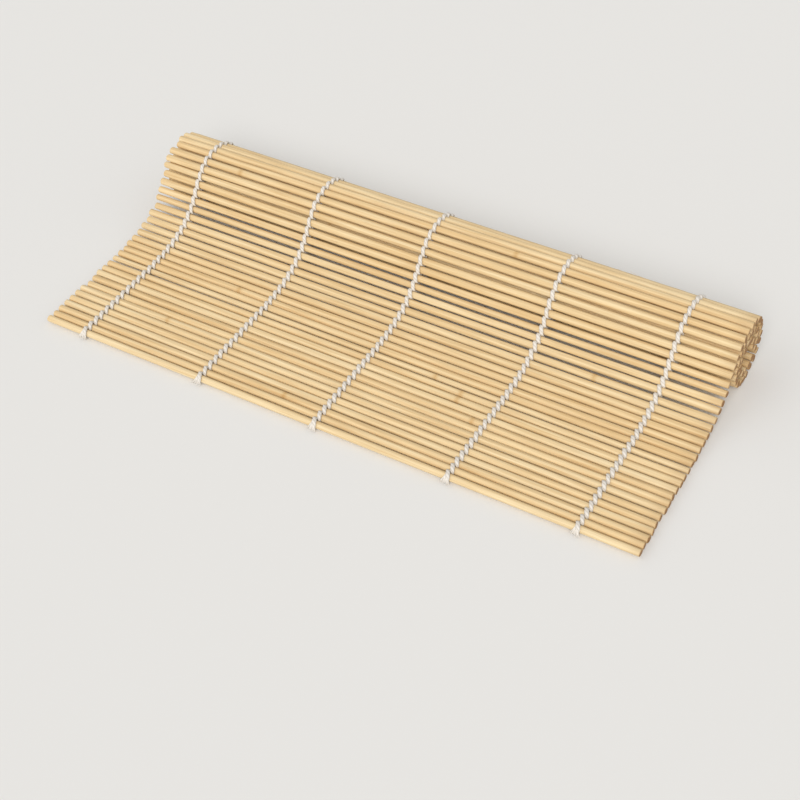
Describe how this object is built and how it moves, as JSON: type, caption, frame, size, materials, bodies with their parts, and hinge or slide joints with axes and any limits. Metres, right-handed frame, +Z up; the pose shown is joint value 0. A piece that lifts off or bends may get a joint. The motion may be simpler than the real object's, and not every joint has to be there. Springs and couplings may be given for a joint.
{
  "type": "sushi rolling mat",
  "caption": "Sushi rolling mat of thin round bamboo sticks bound by twined cotton cords, lying with its front part flat and its back part rolled up.",
  "frame": {"origin": "on the table under the middle of the mat as it lies partly rolled", "axes": "+X along the sticks to the right end in the picture, +Y from the flat front edge to the roll, +Z up"},
  "size_m": [0.24, 0.1069, 0.0278],
  "materials": {
    "bamboo": "satin",
    "cotton_cord": "matte"
  },
  "bodies": {
    "front_1": {"sticks_front_1": "bamboo", "cords_front_1": "cotton_cord"},
    "front_2": {"sticks_front_2": "bamboo", "cords_front_2": "cotton_cord"},
    "front_3": {"sticks_front_3": "bamboo", "cords_front_3": "cotton_cord"},
    "base": {"sticks_base": "bamboo", "cords_base": "cotton_cord"},
    "rise_1": {"sticks_rise_1": "bamboo", "cords_rise_1": "cotton_cord"},
    "rise_2": {"sticks_rise_2": "bamboo", "cords_rise_2": "cotton_cord"},
    "rise_3": {"sticks_rise_3": "bamboo", "cords_rise_3": "cotton_cord"},
    "rise_4": {"sticks_rise_4": "bamboo", "cords_rise_4": "cotton_cord"},
    "rise_5": {"sticks_rise_5": "bamboo", "cords_rise_5": "cotton_cord"},
    "roll_01": {"sticks_roll_01": "bamboo", "cords_roll_01": "cotton_cord"},
    "roll_02": {"sticks_roll_02": "bamboo", "cords_roll_02": "cotton_cord"},
    "roll_03": {"sticks_roll_03": "bamboo", "cords_roll_03": "cotton_cord"},
    "roll_04": {"sticks_roll_04": "bamboo", "cords_roll_04": "cotton_cord"},
    "roll_05": {"sticks_roll_05": "bamboo", "cords_roll_05": "cotton_cord"},
    "roll_06": {"sticks_roll_06": "bamboo", "cords_roll_06": "cotton_cord"},
    "roll_07": {"sticks_roll_07": "bamboo", "cords_roll_07": "cotton_cord"},
    "roll_08": {"sticks_roll_08": "bamboo", "cords_roll_08": "cotton_cord"},
    "roll_09": {"sticks_roll_09": "bamboo", "cords_roll_09": "cotton_cord"},
    "roll_10": {"sticks_roll_10": "bamboo", "cords_roll_10": "cotton_cord"},
    "roll_11": {"sticks_roll_11": "bamboo", "cords_roll_11": "cotton_cord"},
    "roll_12": {"sticks_roll_12": "bamboo", "cords_roll_12": "cotton_cord"},
    "roll_13": {"sticks_roll_13": "bamboo", "cords_roll_13": "cotton_cord"},
    "roll_14": {"sticks_roll_14": "bamboo", "cords_roll_14": "cotton_cord"},
    "roll_15": {"sticks_roll_15": "bamboo", "cords_roll_15": "cotton_cord"},
    "roll_16": {"sticks_roll_16": "bamboo", "cords_roll_16": "cotton_cord"},
    "roll_17": {"sticks_roll_17": "bamboo", "cords_roll_17": "cotton_cord"},
    "roll_18": {"sticks_roll_18": "bamboo", "cords_roll_18": "cotton_cord"},
    "roll_19": {"sticks_roll_19": "bamboo", "cords_roll_19": "cotton_cord"},
    "roll_20": {"sticks_roll_20": "bamboo", "cords_roll_20": "cotton_cord"},
    "roll_21": {"sticks_roll_21": "bamboo", "cords_roll_21": "cotton_cord"}
  },
  "joints": [
    {"name": "front_curl", "type": "hinge", "parent": "base", "child": "front_3", "pos_m": [0, -0.02191, 0.0018], "axis": [-1, 0, 0], "range_deg": [0, 24]},
    {"name": "bend_front_2", "type": "hinge", "parent": "front_3", "child": "front_2", "pos_m": [0, -0.03175, 0.0018], "axis": [-1, 0, 0], "range_deg": [0, 24]},
    {"name": "bend_front_1", "type": "hinge", "parent": "front_2", "child": "front_1", "pos_m": [0, -0.04159, 0.0018], "axis": [-1, 0, 0], "range_deg": [0, 24]},
    {"name": "bend_rise_1", "type": "hinge", "parent": "base", "child": "rise_1", "pos_m": [0, -0.00879, 0.00182], "axis": [1, 0, 0], "range_deg": [-3.41, 0]},
    {"name": "bend_rise_2", "type": "hinge", "parent": "rise_1", "child": "rise_2", "pos_m": [0, 0.00103, 0.00242], "axis": [1, 0, 0], "range_deg": [-9.78, 0]},
    {"name": "bend_rise_3", "type": "hinge", "parent": "rise_2", "child": "rise_3", "pos_m": [0, 0.01059, 0.00468], "axis": [1, 0, 0], "range_deg": [-16.31, 0]},
    {"name": "lay_down", "type": "hinge", "parent": "rise_3", "child": "rise_4", "pos_m": [0, 0.01911, 0.00952], "axis": [1, 0, 0], "range_deg": [-19.81, 0]},
    {"name": "bend_rise_5", "type": "hinge", "parent": "rise_4", "child": "rise_5", "pos_m": [0, 0.0255, 0.01697], "axis": [1, 0, 0], "range_deg": [0, 1.83]},
    {"name": "unroll", "type": "hinge", "parent": "rise_5", "child": "roll_01", "pos_m": [0, 0.03209, 0.02419], "axis": [1, 0, 0], "range_deg": [0, 30.25]},
    {"name": "bend_roll_02", "type": "hinge", "parent": "roll_01", "child": "roll_02", "pos_m": [0, 0.03831, 0.02612], "axis": [1, 0, 0], "range_deg": [0, 28.56]},
    {"name": "bend_roll_03", "type": "hinge", "parent": "roll_02", "child": "roll_03", "pos_m": [0, 0.04469, 0.02485], "axis": [1, 0, 0], "range_deg": [0, 29.21]},
    {"name": "bend_roll_04", "type": "hinge", "parent": "roll_03", "child": "roll_04", "pos_m": [0, 0.04964, 0.02063], "axis": [1, 0, 0], "range_deg": [0, 29.9]},
    {"name": "bend_roll_05", "type": "hinge", "parent": "roll_04", "child": "roll_05", "pos_m": [0, 0.05183, 0.01451], "axis": [1, 0, 0], "range_deg": [0, 30.65]},
    {"name": "bend_roll_06", "type": "hinge", "parent": "roll_05", "child": "roll_06", "pos_m": [0, 0.05059, 0.00813], "axis": [1, 0, 0], "range_deg": [0, 31.45]},
    {"name": "bend_roll_07", "type": "hinge", "parent": "roll_06", "child": "roll_07", "pos_m": [0, 0.0462, 0.00334], "axis": [1, 0, 0], "range_deg": [0, 32.32]},
    {"name": "bend_roll_08", "type": "hinge", "parent": "roll_07", "child": "roll_08", "pos_m": [0, 0.03994, 0.00163], "axis": [1, 0, 0], "range_deg": [0, 33.27]},
    {"name": "bend_roll_09", "type": "hinge", "parent": "roll_08", "child": "roll_09", "pos_m": [0, 0.03377, 0.00364], "axis": [1, 0, 0], "range_deg": [0, 34.31]},
    {"name": "bend_roll_10", "type": "hinge", "parent": "roll_09", "child": "roll_10", "pos_m": [0, 0.02981, 0.00877], "axis": [1, 0, 0], "range_deg": [0, 35.45]},
    {"name": "bend_roll_11", "type": "hinge", "parent": "roll_10", "child": "roll_11", "pos_m": [0, 0.02956, 0.01525], "axis": [1, 0, 0], "range_deg": [0, 36.71]},
    {"name": "bend_roll_12", "type": "hinge", "parent": "roll_11", "child": "roll_12", "pos_m": [0, 0.03323, 0.02058], "axis": [1, 0, 0], "range_deg": [0, 38.11]},
    {"name": "bend_roll_13", "type": "hinge", "parent": "roll_12", "child": "roll_13", "pos_m": [0, 0.0394, 0.02252], "axis": [1, 0, 0], "range_deg": [0, 39.69]},
    {"name": "bend_roll_14", "type": "hinge", "parent": "roll_13", "child": "roll_14", "pos_m": [0, 0.04537, 0.02007], "axis": [1, 0, 0], "range_deg": [0, 41.47]},
    {"name": "bend_roll_15", "type": "hinge", "parent": "roll_14", "child": "roll_15", "pos_m": [0, 0.04822, 0.01428], "axis": [1, 0, 0], "range_deg": [0, 43.53]},
    {"name": "bend_roll_16", "type": "hinge", "parent": "roll_15", "child": "roll_16", "pos_m": [0, 0.04631, 0.00814], "axis": [1, 0, 0], "range_deg": [0, 45.91]},
    {"name": "bend_roll_17", "type": "hinge", "parent": "roll_16", "child": "roll_17", "pos_m": [0, 0.04058, 0.00524], "axis": [1, 0, 0], "range_deg": [0, 48.74]},
    {"name": "bend_roll_18", "type": "hinge", "parent": "roll_17", "child": "roll_18", "pos_m": [0, 0.03464, 0.00764], "axis": [1, 0, 0], "range_deg": [0, 52.15]},
    {"name": "bend_roll_19", "type": "hinge", "parent": "roll_18", "child": "roll_19", "pos_m": [0, 0.03289, 0.01377], "axis": [1, 0, 0], "range_deg": [0, 56.4]},
    {"name": "bend_roll_20", "type": "hinge", "parent": "roll_19", "child": "roll_20", "pos_m": [0, 0.03701, 0.01859], "axis": [1, 0, 0], "range_deg": [0, 61.86]},
    {"name": "bend_roll_21", "type": "hinge", "parent": "roll_20", "child": "roll_21", "pos_m": [0, 0.04316, 0.01725], "axis": [1, 0, 0], "range_deg": [0, 69.26]}
  ],
  "couplings": [
    {"joint": "bend_front_2", "follows": "front_curl", "ratio": 1},
    {"joint": "bend_front_1", "follows": "front_curl", "ratio": 1},
    {"joint": "bend_rise_1", "follows": "lay_down", "ratio": 0.17226},
    {"joint": "bend_rise_2", "follows": "lay_down", "ratio": 0.4939},
    {"joint": "bend_rise_3", "follows": "lay_down", "ratio": 0.82317},
    {"joint": "bend_rise_5", "follows": "lay_down", "ratio": -0.09249},
    {"joint": "bend_roll_02", "follows": "unroll", "ratio": 0.94389},
    {"joint": "bend_roll_03", "follows": "unroll", "ratio": 0.96532},
    {"joint": "bend_roll_04", "follows": "unroll", "ratio": 0.98827},
    {"joint": "bend_roll_05", "follows": "unroll", "ratio": 1.0129},
    {"joint": "bend_roll_06", "follows": "unroll", "ratio": 1.0395},
    {"joint": "bend_roll_07", "follows": "unroll", "ratio": 1.0683},
    {"joint": "bend_roll_08", "follows": "unroll", "ratio": 1.0997},
    {"joint": "bend_roll_09", "follows": "unroll", "ratio": 1.1339},
    {"joint": "bend_roll_10", "follows": "unroll", "ratio": 1.1716},
    {"joint": "bend_roll_11", "follows": "unroll", "ratio": 1.2132},
    {"joint": "bend_roll_12", "follows": "unroll", "ratio": 1.2596},
    {"joint": "bend_roll_13", "follows": "unroll", "ratio": 1.3117},
    {"joint": "bend_roll_14", "follows": "unroll", "ratio": 1.3708},
    {"joint": "bend_roll_15", "follows": "unroll", "ratio": 1.4386},
    {"joint": "bend_roll_16", "follows": "unroll", "ratio": 1.5175},
    {"joint": "bend_roll_17", "follows": "unroll", "ratio": 1.6109},
    {"joint": "bend_roll_18", "follows": "unroll", "ratio": 1.7238},
    {"joint": "bend_roll_19", "follows": "unroll", "ratio": 1.864},
    {"joint": "bend_roll_20", "follows": "unroll", "ratio": 2.0445},
    {"joint": "bend_roll_21", "follows": "unroll", "ratio": 2.2892}
  ]
}
